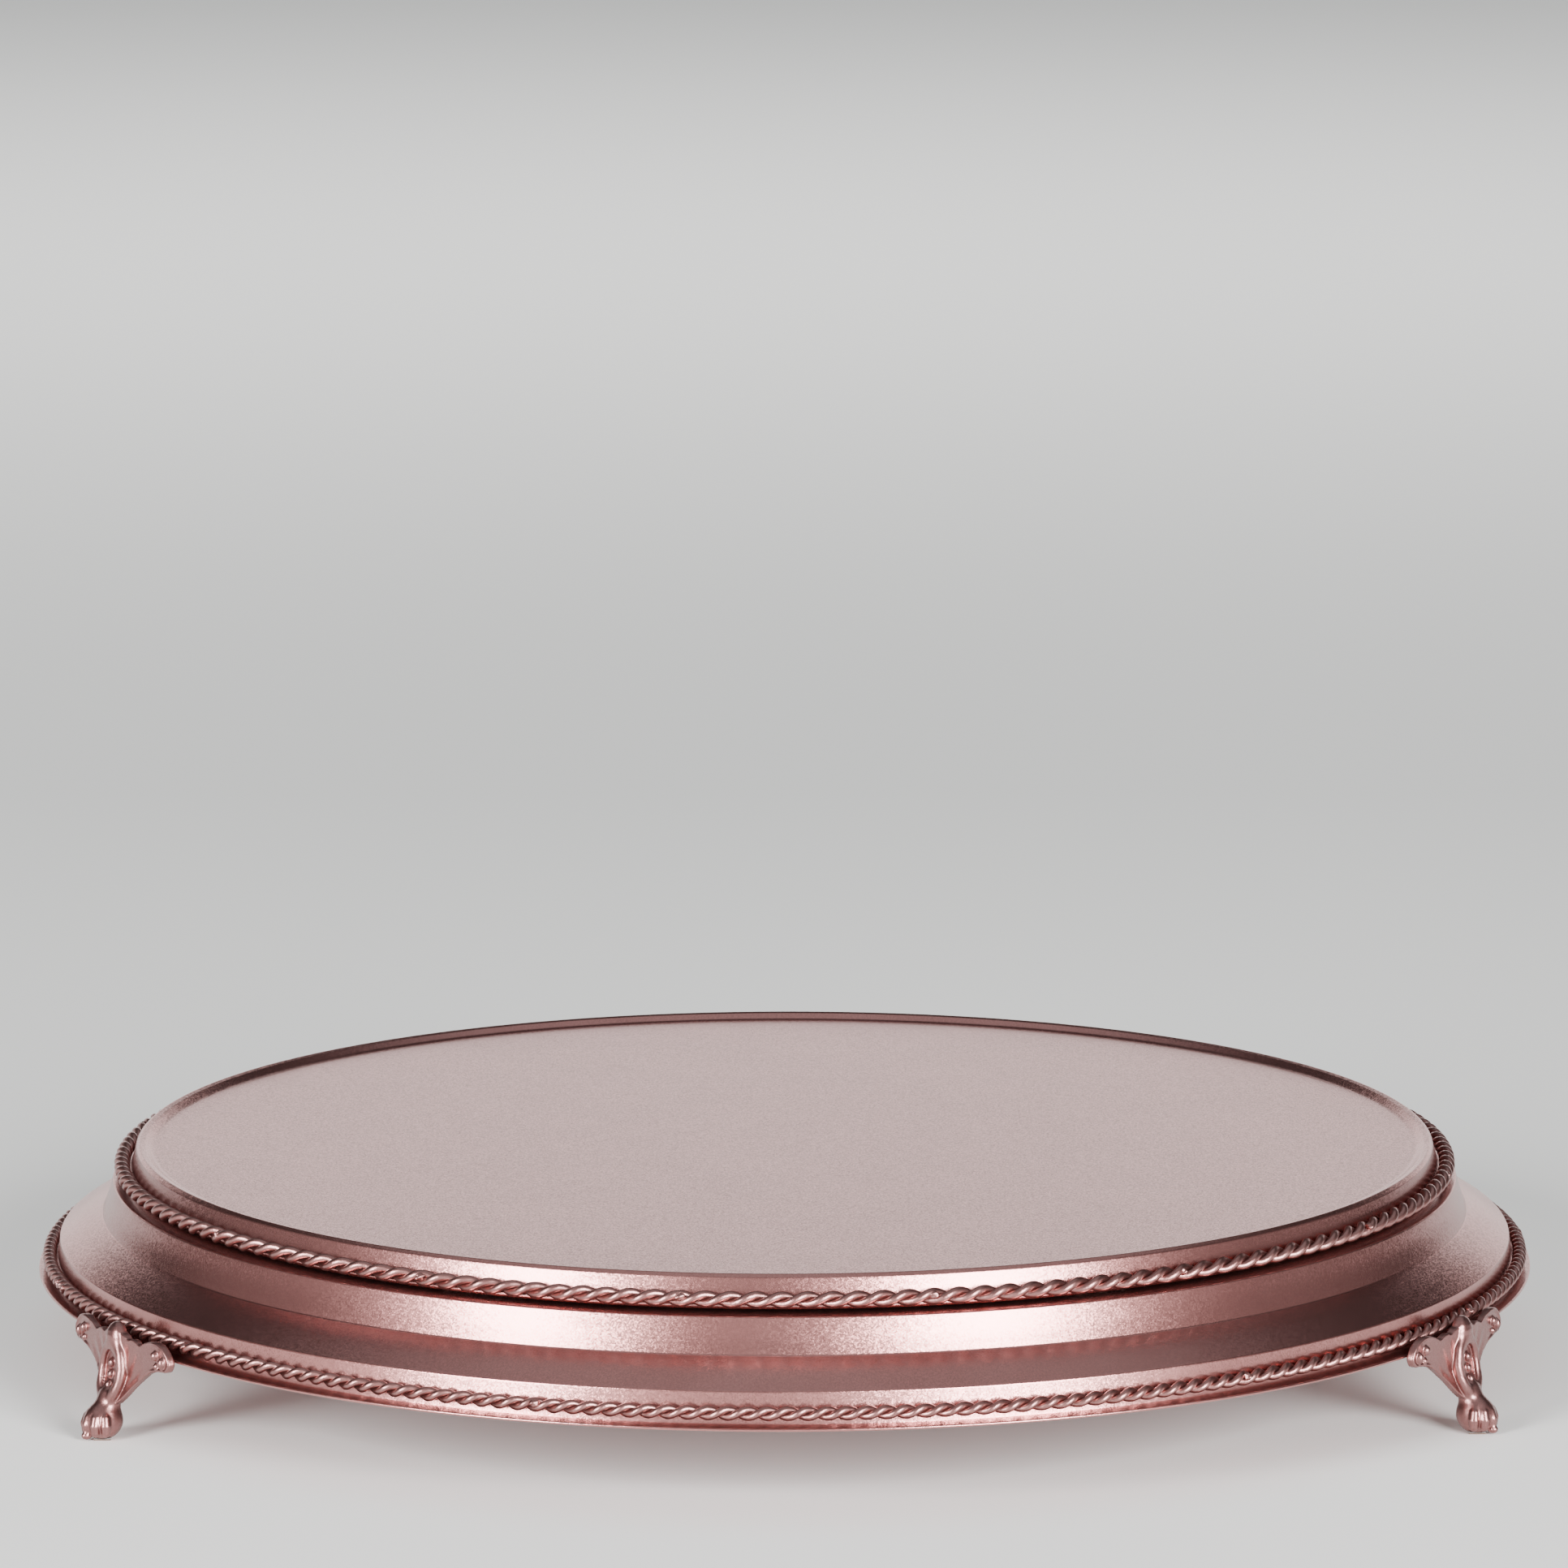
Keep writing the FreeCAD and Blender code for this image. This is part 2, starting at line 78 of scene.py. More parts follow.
def grid_faces(rows, columns, close_rows, close_columns):
    """Quads between the neighbours of a grid of points numbered row by row; each way may close on itself."""
    row = np.arange(rows if close_rows else rows - 1)[:, None]
    column = np.arange(columns if close_columns else columns - 1)[None, :]
    next_row = (row + 1) % rows
    next_column = (column + 1) % columns
    corners = (row * columns + column, row * columns + next_column,
               next_row * columns + next_column, next_row * columns + column)
    return np.stack(np.broadcast_arrays(*corners), axis=-1).reshape(-1, 4)


def joined(parts):
    """Several (points, faces) skins as one."""
    starts = np.cumsum([0] + [len(points) for points, _ in parts[:-1]])
    points = np.concatenate([points for points, _ in parts])
    shifted = [np.where(faces < 0, -1, faces + start) for (_, faces), start in zip(parts, starts)]
    faces = np.concatenate(shifted)
    return points, faces


def add_piece(name, skin, body, node, material, sharp=None):
    """Make a mesh object of a skin in millimetres; it rides on a body and stands for a CAD node."""
    points, faces = skin
    used = faces >= 0
    mesh = bpy.data.meshes.new(name)
    mesh.vertices.add(len(points))
    mesh.loops.add(int(used.sum()))
    mesh.polygons.add(len(faces))
    mesh.vertices.foreach_set("co", (points * MM).astype(np.float32).ravel())
    mesh.loops.foreach_set("vertex_index", faces[used].astype(np.int32))
    loop_starts = np.concatenate([[0], np.cumsum(used.sum(1))[:-1]])
    mesh.polygons.foreach_set("loop_start", loop_starts.astype(np.int32))
    mesh.update(calc_edges=True)
    mesh.validate()
    mesh.shade_smooth()
    if sharp is not None:
        mesh.set_sharp_from_angle(angle=math.radians(sharp))
    mesh.materials.append(material)
    piece = bpy.data.objects.new(name, mesh)
    bpy.context.scene.collection.objects.link(piece)
    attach(piece, body)
    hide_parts(node)
    return piece


def bent_line(corners, steps=7):
    """A profile of straight runs joined by arcs tangent to both; each corner is (radius, level, arc radius).

    An arc of radius q at a corner where the line turns by t starts q tan(t/2) before it. A point just
    beyond each end of an arc keeps the flat beside it flat in the light.
    """
    place = np.array([corner[:2] for corner in corners], float)
    line = []
    for index, (_, _, bend) in enumerate(corners):
        here = place[index]
        if bend == 0:
            line.append(here)
            continue
        back = place[index - 1] - here
        ahead = place[(index + 1) % len(place)] - here
        back_run, ahead_run = np.linalg.norm(back), np.linalg.norm(ahead)
        back, ahead = back / back_run, ahead / ahead_run
        half_turn = (math.pi - math.acos(np.clip(back @ ahead, -1, 1))) / 2
        reach = min(bend * math.tan(half_turn), 0.47 * back_run, 0.47 * ahead_run)
        bend = reach / math.tan(half_turn)
        middle = here + (back + ahead) / np.linalg.norm(back + ahead) * bend / math.cos(half_turn)
        start, end = here + back * reach - middle, here + ahead * reach - middle
        sweep = np.linspace(0, 1, steps)[:, None]
        arc = (np.sin((1 - sweep) * 2 * half_turn) * start + np.sin(sweep * 2 * half_turn) * end)
        arc = middle + arc / math.sin(2 * half_turn)
        margin = min(0.15, 0.02 * min(back_run, ahead_run))
        line.extend([arc[0] + back * margin, *arc, arc[-1] + ahead * margin])
    return np.array(line)


def with_poles(points, faces, columns, top, bottom):
    """A grid skin closed at its first and last rows, each by a fan of triangles round one pole."""
    count = len(points)
    last = count - columns
    step = np.arange(columns)
    follower = (step + 1) % columns
    none = np.full(columns, -1)
    over = np.stack([np.full(columns, count), step, follower, none], axis=-1)
    under = np.stack([np.full(columns, count + 1), last + follower, last + step, none], axis=-1)
    return np.concatenate([points, [top, bottom]]), np.concatenate([faces, over, under])


def turned(profile, closed):
    """A profile (radius, level) carried round the axis: x = r cos a, y = r sin a.

    An open profile starts and ends on the axis, where each end becomes a pole.
    """
    angle = np.arange(LATHE_STEPS) * 2 * math.pi / LATHE_STEPS
    rings = profile if closed else profile[1:-1]
    radius, level = rings[:, :1], rings[:, 1:]
    points = np.stack(np.broadcast_arrays(radius * np.cos(angle), radius * np.sin(angle), level), axis=-1)
    points = points.reshape(-1, 3)
    faces = grid_faces(len(rings), LATHE_STEPS, closed, True)[:, ::-1]
    if closed:
        return points, faces
    return with_poles(points, faces, LATHE_STEPS, (0, 0, profile[0, 1]), (0, 0, profile[-1, 1]))


def tube(path, outward, thickness, sides):
    """A closed round wire: p(s) + w (n cos v + b sin v), with n square to the path and b square to both."""
    ahead = np.roll(path, -1, axis=0) - np.roll(path, 1, axis=0)
    ahead /= np.linalg.norm(ahead, axis=1, keepdims=True)
    normal = outward - ahead * np.sum(outward * ahead, axis=1, keepdims=True)
    normal /= np.linalg.norm(normal, axis=1, keepdims=True)
    binormal = np.cross(ahead, normal)
    turn = (np.arange(sides) * 2 * math.pi / sides)[None, :, None]
    points = path[:, None] + thickness * (normal[:, None] * np.cos(turn) + binormal[:, None] * np.sin(turn))
    return points.reshape(-1, 3), grid_faces(len(path), sides, True, True)


def blob(centre, size, lean, seed):
    """A lumpy dab: an ellipsoid whose radius swells by three crossed waves, turned by lean in the plan."""
    rows, columns = 14, 20
    polar = np.linspace(0, math.pi, rows)[1:-1, None]
    around = (np.arange(columns) * 2 * math.pi / columns)[None, :]
    wave = (np.sin(3 * around + seed) * np.sin(2 * polar + 2.1 * seed) + np.cos(5 * around - 1.7 * seed) *
            np.sin(4 * polar) + np.sin(2 * around + 5 * polar + 0.6 * seed))
    swell = 1 + 0.11 * wave * np.sin(polar)
    local = np.stack(np.broadcast_arrays(np.sin(polar) * np.cos(around) * swell,
                                         np.sin(polar) * np.sin(around) * swell,
                                         np.cos(polar) * swell), axis=-1).reshape(-1, 3)
    faces = grid_faces(rows - 2, columns, False, True)[:, ::-1]
    local, faces = with_poles(local, faces, columns, (0, 0, 1), (0, 0, -1))
    cosine, sine = math.cos(lean), math.sin(lean)
    turn = np.array([(cosine, sine, 0), (-sine, cosine, 0), (0, 0, 1)])
    return (local * size) @ turn + centre, faces


# ---------------------------------------------------------------- spun sheet

def plate_skin():
    """The plate: flat, cove, the lip's rolled crest, a wall that flares to a turned-in hem, and its back."""
    radius, foot, crest = ring_of("top_plate")
    disc_top = ring_of("stiffening_disc")[2]
    gauge = PLATE_GAUGE
    flat = disc_top + gauge
    lip = radius - 2.8
    return turned(bent_line([
        (0, flat, 0),
        (lip - 6.0, flat, 3.4),
        (lip - 3.2, crest - 0.45, 1.6),
        (lip - 1.2, crest, 1.0),
        (lip, crest - 1.1, 1.5),
        (radius, foot + 0.3, 1.4),
        (radius - 2.6 * gauge, foot, 0.5),
        (lip - 1.4 * gauge, disc_top, 0.6),
        (0, disc_top, 0),
    ]), False)


def shell_skin():
    """The base shell: deck, rolled edge, flared riser, crease, crowned flange, shoulder and low wall."""
    radius, foot, deck = ring_of("base_shell")
    bush_overlap = 3.9
    hole = ring_of("pivot_bush")[0] - bush_overlap
    gauge = SHELL_GAUGE
    return turned(bent_line([
        (hole, deck, 0),
        (radius - 20.7, deck, 0.6),
        (radius - 19.05, deck - 6.3, 60),
        (radius - 16.8, deck - 12.3, 0.9),
        (radius - 8.85, deck - 16.1, 60),
        (radius - 1.3, deck - 20.7, 1.1),
        (radius, foot, 0),
        (radius - gauge, foot, 0),
        (radius - 1.3 - gauge, deck - 20.7 - 0.6 * gauge, 1.0),
        (radius - 16.8 - 1.2 * gauge, deck - 12.3 - 0.6 * gauge, 1.0),
        (radius - 20.7 - 1.1 * gauge, deck - gauge, 1.0),
        (hole, deck - gauge, 0),
    ]), True)


def rim_skin():
    """The flat rim ring under the shell, its outer edge rolled."""
    radius, bottom, top = ring_of("rim_ring")
    width = 27.4
    return turned(bent_line([
        (radius - width, top, 0.3),
        (radius, top, 0.45),
        (radius, bottom, 0.45),
        (radius - width, bottom, 0.3),
    ]), True)


# ---------------------------------------------------------------- twisted-wire ropes

# Where the dabs of solder sit, in degrees round the axis.
UPPER_TACKS = (-144, -120.5, -98.3, -78.2, -56.3, -33, -11, 12, 34, 57, 79, 101, 124, 146, 169)
LOWER_TACKS = (-164.1, -163.1, -162.2, -140, -108, -54.6, -27, 1, 29, 56, 84, 111, 138, 167)


def rope_skin(node, turns, tacks, phase):
    """Two round wires laid round each other, with a dab of solder every so often.

    At angle a round the axis, a wire's middle stands off the rope's middle by s (n cos p + z sin p),
    where n points outwards and p = turns a + phase; the second wire is half a turn on. Slow waves in p
    and in s are the hand of the twisting.
    """
    radius, bottom, top = ring_of(node)
    # The CAD's ring has a five-sided section: this is from its middle to a corner.
    reach = (top - bottom) / 2 / math.sin(2 * math.pi / 5)
    middle = radius - reach
    level = (top + bottom) / 2
    wire = 0.5 * reach
    angle = np.linspace(0, 2 * math.pi, turns * 14, endpoint=False)
    out = np.stack([np.cos(angle), np.sin(angle), np.zeros_like(angle)], axis=-1)
    upright = np.array([0.0, 0.0, 1.0])
    drift = 0.16 * np.sin(7 * angle + phase) + 0.10 * np.sin(17 * angle)
    dab_size = (1.25, 2.1, 1.35)
    skins = []
    for lead in (0, math.pi):
        twist = (turns * angle + phase + lead + drift)[:, None]
        off = out * np.cos(twist) + upright * np.sin(twist)
        stand_off = (0.49 + 0.01 * np.sin(11 * angle + lead))[:, None] * reach
        path = out * middle + upright * level + off * stand_off
        skins.append(tube(path, off, wire, 12))
    for number, degrees in enumerate(tacks):
        bearing = math.radians(degrees)
        across = np.array([math.cos(bearing), math.sin(bearing), 0.0])
        centre = across * (middle + dab_size[0]) + upright * (level + 0.75)
        skins.append(blob(centre, dab_size, -bearing, number + 1.0))
    return joined(skins)


# ---------------------------------------------------------------- cast claw feet

def blend(first, second, width):
    """The lower of two fields, with their join filled to a fillet of about the given width."""
    share = np.clip(0.5 + 0.5 * (second - first) / width, 0, 1)
    return second * (1 - share) + first * share - width * share * (1 - share)


def egg(x, y, z, centre, size):
    """Roughly the distance to an ellipsoid: its scaled radius less one, times its smallest half size."""
    spread = np.sqrt(((x - centre[0]) / size[0]) ** 2 + ((y - centre[1]) / size[1]) ** 2 +
                     ((z - centre[2]) / size[2]) ** 2)
    return (spread - 1) * min(size)


def rod(x, y, z, start, end, thick_start, thick_end):
    """The distance to a rod with round ends that tapers from one thickness to another."""
    start, end = np.array(start), np.array(end)
    run = end - start
    share = ((x - start[0]) * run[0] + (y - start[1]) * run[1] + (z - start[2]) * run[2]) / (run @ run)
    share = np.clip(share, 0, 1)
    gap = np.sqrt((x - start[0] - share * run[0]) ** 2 + (y - start[1] - share * run[1]) ** 2 +
                  (z - start[2] - share * run[2]) ** 2)
    return gap - thick_start - share * (thick_end - thick_start)


def curve_points(corners, count):
    """Points along a Catmull-Rom curve through the corners."""
    corners = np.array(corners, float)
    padded = np.concatenate([2 * corners[:1] - corners[1:2], corners, 2 * corners[-1:] - corners[-2:-1]])
    place = np.linspace(0, len(corners) - 1, count)
    index = np.minimum(place.astype(int), len(corners) - 2)
    share = (place - index)[:, None]
    a, b, c, d = (padded[index + offset] for offset in range(4))
    return 0.5 * (2 * b + (c - a) * share + (2 * a - 5 * b + 4 * c - d) * share ** 2 +
                  (3 * b - a - 3 * c + d) * share ** 3)


def leaf_field(y, z, outline):
    """Signed distance in the (y, z) plane to a closed outline, negative inside."""
    nearest = np.full(y.shape, 1e9)
    inside = np.zeros(y.shape, bool)
    for (y0, z0), (y1, z1) in zip(outline, np.roll(outline, -1, axis=0)):
        run = (y1 - y0) ** 2 + (z1 - z0) ** 2
        share = np.clip(((y - y0) * (y1 - y0) + (z - z0) * (z1 - z0)) / run, 0, 1)
        nearest = np.minimum(nearest, np.hypot(y - y0 - share * (y1 - y0), z - z0 - share * (z1 - z0)))
        crosses = (z0 > z) != (z1 > z)
        where = y0 + (z - z0) * (y1 - y0) / (z1 - z0 if z1 != z0 else 1e-9)
        inside ^= crosses & (y < where)
    return np.where(inside, -nearest, nearest)


# The casting's places: outwards ones are from the leg's middle, which stands LEG_RADIUS from the axis.
LEG_RADIUS = 275.0
BACK_FACE = -3.95
SOLE_LEVEL = 0.5
KNEE_TOP = 40.6
MEDAL_LEVEL = 23.6
TAB_MIDDLE = 30.4
TAB_HALF_WIDTH = 9.7
TAB_HALF_THICKNESS = 1.45
TAB_ENDS = (-29.8, -2.0)
SCREW_PLACE = -22.5
SCREW_HOLE_RADIUS = 3.3

# The leg's column at each level: how far its middle stands out, its half width and its half depth.
LEG_LEVELS = (9, 12.5, 15, 18, 21, 25, 29, 33, 36, 38, 39.5, 40.3, 41)
LEG_TABLES = (
    (3.2, 1.7, 0.9, 0.0, -1.1, -1.9, -2.1, -2.1, -2.1, -2.2, -2.3, -2.3, -2.3),
    (4.2, 4.4, 5.0, 5.6, 5.8, 6.0, 5.8, 5.2, 4.7, 4.1, 3.0, 1.8, 0.4),
    (4.2, 4.0, 3.6, 3.2, 3.0, 3.0, 3.1, 3.5, 3.5, 3.1, 2.3, 1.4, 0.4),
)

# The wings' scalloped outline as (sideways, level), and the beads on the hollow and on each wing.
LEAF_OUTLINE = curve_points([
    (-3.0, 38.0), (5.0, 37.6), (8.6, 36.1), (11.3, 36.7), (13.6, 36.2), (15.8, 35.5), (19.2, 36.9),
    (24.8, 38.4), (29.4, 37.7), (33.0, 35.3), (34.9, 32.2), (34.4, 30.0), (32.6, 28.4), (30.0, 28.2),
    (26.5, 27.6), (22.2, 26.2), (17.5, 23.4), (13.0, 19.8), (9.4, 16.4), (6.6, 13.8), (4.0, 12.3),
    (-3.0, 12.0),
], 90)
FLUTE_ROOT = (2.0, 11.0)
MEDAL_BEADS = (
    ((2.0, 0, 26.5), (1.6, 1.5, 1.6)),
    ((1.9, 0, 22.7), (1.5, 1.4, 1.5)),
    ((1.9, 0, 19.3), (1.3, 1.1, 1.1)),
)
LEAF_BEADS = (
    ((-1.6, 26.3, 33.5), (1.7, 1.6, 1.7)),
    ((-1.6, 30.5, 31.6), (1.7, 1.5, 2.0)),
    ((-1.7, 26.8, 29.9), (1.1, 1.2, 1.1)),
)

# A toe's joints as (distance out from the paw, level, thickness), and how the toes fan out.
TOE = ((2.6, 10.4, 1.3), (5.3, 8.0, 1.7), (6.0, 5.6, 1.9), (5.9, 3.2, 1.6))
TOE_ANGLES = (0, 36, 72)


def foot_field(x, y, z):
    """The casting as a field that is negative inside; x is outwards from the leg's middle, y along the rim.

    The leg is a column whose section is |x/depth|^2.3 + |y/width|^2.3 = 1, with a raised oval ring and a
    hollow inside it on the shin. The wings are a curved plate cut to the leaf's outline, with flutes
    cos(26 a) that fan out from the ankle and a raised border. The paw is an egg with toes of tapered
    rods, and a bored tab reaches in under the rim. The two halves mirror in y.
    """
    side = np.abs(y)
    out = np.hypot(LEG_RADIUS + x, y) - LEG_RADIUS

    flat_side, flat_level = side[0], z[0]
    leaf = leaf_field(flat_side, flat_level, LEAF_OUTLINE)
    root_side, root_level = FLUTE_ROOT
    fan = np.arctan2(flat_level - root_level, flat_side - root_side)
    away = np.hypot(flat_side - root_side, flat_level - root_level)
    flute = 0.16 * np.cos(fan * 26) * np.clip((away - 9) / 6, 0, 1) * np.clip((27 - away) / 5, 0, 1)
    border = 0.55 * np.exp(-((leaf + 0.8) / 0.6) ** 2) * np.clip((flat_side - 20) / 6, 0, 1)
    forward = np.interp(flat_level, (12, 16, 23), (3.2, 1.8, 0.0))
    front = -1.70 + flute + border + forward + 0.9 * np.exp(-(flat_side / 8.5) ** 2)
    plate = np.maximum(np.maximum(out - front, forward + BACK_FACE - out), leaf + 0.25)

    lean, width, depth = (np.interp(z[0, 0], LEG_LEVELS, table) for table in LEG_TABLES)
    leg_x = x - lean
    body = (np.abs(leg_x / depth) ** 2.3 + np.abs(y / width) ** 2.3) ** (1 / 2.3) - 1
    body = np.maximum(body * np.minimum(width, depth), z - KNEE_TOP)
    oval = np.hypot(y / 6.2, (z - MEDAL_LEVEL) / 9.0)
    ring = np.hypot((oval - 1) * 6.4, leg_x - 1.5) - 1.5 - 0.6 * np.clip(side / 6.2, 0, 1)
    body = blend(body, ring, 0.9)
    hollow = np.maximum((np.hypot(y / 4.8, (z - MEDAL_LEVEL) / 7.4) - 1) * 4.5, 1.8 - leg_x)
    body = -blend(-body, hollow, 0.45)
    body = np.maximum(np.maximum(body, BACK_FACE - out), 6.0 - z)
    for centre, size in MEDAL_BEADS:
        body = blend(body, egg(leg_x, y, z, centre, size), 0.25)
    field = blend(body, plate, 0.5)
    for centre, size in LEAF_BEADS:
        field = blend(field, egg(out, side, z, centre, size), 0.3)

    paw = egg(x, y, z, (3.9, 0, 6.4), (7.1, 6.1, 6.6))
    paw = blend(paw, rod(x, y, z, (1.0, 0, 15.0), (2.8, 0, 9.5), 3.8, 4.8), 1.5)
    for degrees in TOE_ANGLES:
        turn = math.radians(degrees)
        joints = [(4.0 + far * math.cos(turn), 1.15 * far * math.sin(turn), high) for far, high, _ in TOE]
        toe = np.full(x.shape, 1e9)
        for start, end, (_, _, thick), (_, _, thin) in zip(joints, joints[1:], TOE, TOE[1:]):
            toe = np.minimum(toe, rod(x, side * 1.15, z, start, end, thick, thin))
        paw = blend(paw, toe, 0.4)
    paw = blend(paw, egg(x, y, z, (10.4, 0, 1.9), (1.9, 1.6, 1.5)), 0.6)
    paw = np.maximum(paw, SOLE_LEVEL - z)
    field = blend(field, paw, 0.8)

    tab = np.maximum(side - TAB_HALF_WIDTH, np.abs(z - TAB_MIDDLE) - TAB_HALF_THICKNESS)
    tab = np.maximum(tab, np.maximum(TAB_ENDS[0] - x, x - TAB_ENDS[1]))
    field = blend(field, tab, 0.6)
    hole = SCREW_HOLE_RADIUS - np.hypot(x - SCREW_PLACE, y)
    return np.maximum(field, hole)


def crossed_skin(field, low, step):
    """The surface where a sampled field is zero.

    One point in each grid cell that the surface crosses, at the mean of the crossings on its edges, and
    one quad across each crossed grid line.
    """
    shape = np.array(field.shape)
    total = np.zeros((*(shape - 1), 3))
    count = np.zeros(shape - 1)
    crossings = []
    for axis in range(3):
        first = np.take(field, range(shape[axis] - 1), axis)
        second = np.take(field, range(1, shape[axis]), axis)
        crossed = (first < 0) != (second < 0)
        crossings.append((crossed, first < 0))
        share = np.where(crossed, first / np.where(crossed, first - second, 1), 0)
        places = np.stack(np.meshgrid(*[np.arange(n) for n in share.shape], indexing="ij"), -1).astype(float)
        places[..., axis] += share
        places *= crossed[..., None]
        others = [other for other in range(3) if other != axis]
        for one in (0, 1):
            for two in (0, 1):
                cut = [slice(None)] * 3
                cut[others[0]] = slice(one, shape[others[0]] - 1 + one)
                cut[others[1]] = slice(two, shape[others[1]] - 1 + two)
                total += places[tuple(cut)]
                count += crossed[tuple(cut)]
    used = count > 0
    number = np.full(count.shape, -1)
    number[used] = np.arange(used.sum())
    points = total[used] / count[used][:, None] * step + low
    faces = []
    for axis, (crossed, starts_inside) in enumerate(crossings):
        one, two = (axis + 1) % 3, (axis + 2) % 3
        cut = [slice(None)] * 3
        cut[one], cut[two] = slice(1, shape[one] - 1), slice(1, shape[two] - 1)
        at = np.argwhere(crossed[tuple(cut)])
        at[:, one] += 1
        at[:, two] += 1
        ring = []
        for back_one, back_two in ((1, 1), (0, 1), (0, 0), (1, 0)):
            cell = at.copy()
            cell[:, one] -= back_one
            cell[:, two] -= back_two
            ring.append(number[tuple(cell.T)])
        quads = np.stack(ring, axis=-1)
        inside = starts_inside[tuple(at.T)]
        faces.append(np.where(inside[:, None], quads, quads[:, ::-1]))
    return points, np.concatenate(faces)


def foot_skin():
    """One casting about the leg's middle, from its field sampled every third of a millimetre."""
    step = 0.34
    low = np.array([-31.0, -36.2, -0.2])
    high = np.array([13.6, 36.4, 42.6])
    axes = [np.arange(start, end, step) for start, end in zip(low, high)]
    x, y, z = np.meshgrid(*axes, indexing="ij")
    return crossed_skin(foot_field(x, y, z), low, step)


def placed_foot(skin, node):
    """The casting moved out to the rim and turned to a CAD foot's direction."""
    points, faces = skin
    bearing = direction_of(node)
    cosine, sine = math.cos(bearing), math.sin(bearing)
    out, along, up = points[:, 0] + LEG_RADIUS, points[:, 1], points[:, 2]
    moved = np.stack([out * cosine - along * sine, out * sine + along * cosine, up], axis=-1)
    return moved, faces


# ---------------------------------------------------------------- finishes

def linear(code):
    """A hex sRGB colour as the linear red, green, blue and alpha that a shader takes."""
    values = [int(code[place:place + 2], 16) / 255 for place in (0, 2, 4)]
    return (*[v / 12.92 if v <= 0.04045 else ((v + 0.055) / 1.055) ** 2.4 for v in values], 1.0)


def add(tree, kind, links=(), **settings):
    """Add a shader node; links maps its inputs to sockets or plain values, settings are its own options."""
    made = tree.nodes.new(f"ShaderNode{kind}")
    for key, value in settings.items():
        setattr(made, key, value)
    for key, value in dict(links).items():
        if isinstance(value, bpy.types.NodeSocket):
            tree.links.new(value, made.inputs[key])
        else:
            made.inputs[key].default_value = value
    return made


def blank_material(name):
    """A new material and its empty tree to fill."""
    material = bpy.data.materials.new(name)
    material.use_nodes = True
    material.node_tree.nodes.clear()
    return material, material.node_tree


def rose_gold_lacquer(name, roughness, marks, mottle, dark, light):
    """Sprayed metallic lacquer: fine aluminium flake in tinted clear, under a satin clear coat.

    Flakes of about 0.05 mm are drawn as 0.45 mm cells, each tipping the base's normal its own way, which
    grains the edge of every highlight. Spray mottle is about 1.6 mm across, and the tint drifts a little
    over some 40 mm. The spinning tool's marks, about 1 mm apart and nearly filled by the lacquer, run
    round the axis: noise over (distance from the axis, a little of the angle, level).
    """
    material, tree = blank_material(name)
    place = add(tree, "TexCoord").outputs["Object"]
    flake = add(tree, "TexVoronoi", {"Vector": place, "Scale": 1 / (0.45 * MM)})
    tip = add(tree, "VectorMath", {0: flake.outputs["Color"], 1: (0.5, 0.5, 0.5)}, operation="SUBTRACT")
    tip = add(tree, "VectorMath", {0: tip.outputs[0], "Scale": 0.09}, operation="SCALE")
    cloud = add(tree, "TexNoise", {"Vector": place, "Scale": 1 / (38 * MM), "Detail": 3.0, "Roughness": 0.55})
    tint = add(tree, "ValToRGB", {"Fac": cloud.outputs["Fac"]})
    tint.color_ramp.elements[0].position, tint.color_ramp.elements[1].position = 0.3, 0.7
    tint.color_ramp.elements[0].color = linear(dark)
    tint.color_ramp.elements[1].color = linear(light)
    sparkle = add(tree, "MapRange", {"Value": flake.outputs["Color"], "From Min": 0.2, "From Max": 1.0,
                                     "To Min": 0.90, "To Max": 1.12})
    colour = add(tree, "VectorMath", {0: tint.outputs["Color"], "Scale": sparkle.outputs[0]},
                 operation="SCALE")
    split = add(tree, "SeparateXYZ", {0: place})
    flat_place = add(tree, "VectorMath", {0: place, 1: (1, 1, 0)}, operation="MULTIPLY")
    radius = add(tree, "VectorMath", {0: flat_place.outputs[0]}, operation="LENGTH")
    bearing = add(tree, "Math", {0: split.outputs[1], 1: split.outputs[0]}, operation="ARCTAN2")
    bearing = add(tree, "Math", {0: bearing.outputs[0], 1: 0.004}, operation="MULTIPLY")
    round_place = add(tree, "CombineXYZ", {0: radius.outputs["Value"], 1: bearing.outputs[0],
                                           2: split.outputs[2]})
    rings = add(tree, "TexNoise", {"Vector": round_place.outputs[0], "Scale": 1 / (0.9 * MM), "Detail": 2.0})
    rough = add(tree, "MapRange", {"Value": rings.outputs["Fac"], "From Min": 0.3, "From Max": 0.7,
                                   "To Min": roughness - marks, "To Max": roughness + marks})
    spots = add(tree, "TexNoise", {"Vector": place, "Scale": 1 / (1.6 * MM), "Detail": 2.0})
    lumps = add(tree, "Bump", {"Height": spots.outputs["Fac"], "Strength": mottle, "Distance": 0.12 * MM})
    ridge = add(tree, "Bump", {"Height": rings.outputs["Fac"], "Strength": 4 * marks, "Distance": 0.01 * MM,
                               "Normal": lumps.outputs[0]})
    tipped = add(tree, "VectorMath", {0: ridge.outputs[0], 1: tip.outputs[0]}, operation="ADD")
    tipped = add(tree, "VectorMath", {0: tipped.outputs[0]}, operation="NORMALIZE")
    shader = add(tree, "BsdfPrincipled", {
        "Base Color": colour.outputs[0], "Metallic": 1.0, "Roughness": rough.outputs[0],
        "Normal": tipped.outputs[0], "Coat Weight": 0.2, "Coat Roughness": 0.12,
        "Coat Normal": ridge.outputs[0],
    })
    add(tree, "OutputMaterial", {"Surface": shader.outputs[0]})
    return material


